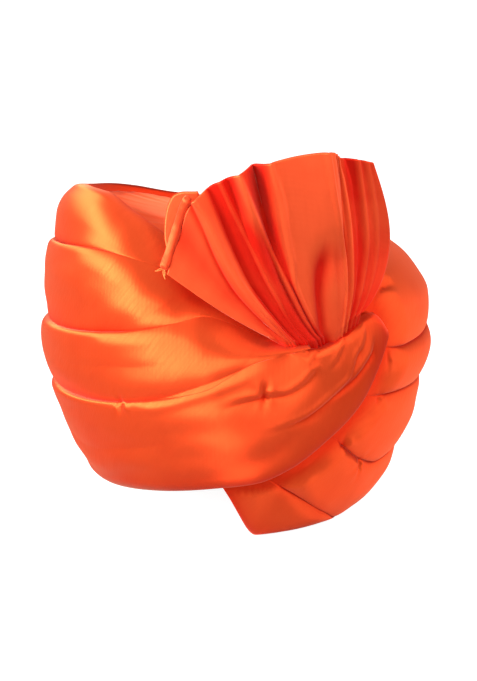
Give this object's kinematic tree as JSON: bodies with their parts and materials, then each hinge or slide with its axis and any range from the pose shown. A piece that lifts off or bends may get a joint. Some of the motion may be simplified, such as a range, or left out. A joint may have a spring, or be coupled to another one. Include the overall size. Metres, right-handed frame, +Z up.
{
  "type": "tied turban",
  "caption": "Readymade tied turban of padded satin with wound wraps, a wide front sweep gathered to a knot at the side, and a standing pleated fan above it.",
  "frame": {"origin": "on the plane that the rim rests on, below the middle of the head opening", "axes": "+Z up through the crown, -Y towards the front over the brow, +X towards the side with the knot and the fan"},
  "size_m": [0.2734, 0.301, 0.2633],
  "materials": {
    "wrap_satin": "orange polyester satin, padded",
    "crown_satin": "orange polyester satin, gathered",
    "fan_satin": "orange polyester satin, pleated",
    "hem_satin": "orange polyester satin, rolled hem"
  },
  "bodies": {
    "root": {"wrap_1": "wrap_satin", "wrap_2": "wrap_satin", "wrap_3": "wrap_satin", "wrap_4": "wrap_satin", "brow_wrap": "wrap_satin", "crown": "crown_satin", "fan": "fan_satin", "fan_back_fold": "fan_satin", "fan_hem": "hem_satin"}
  },
  "joints": []
}
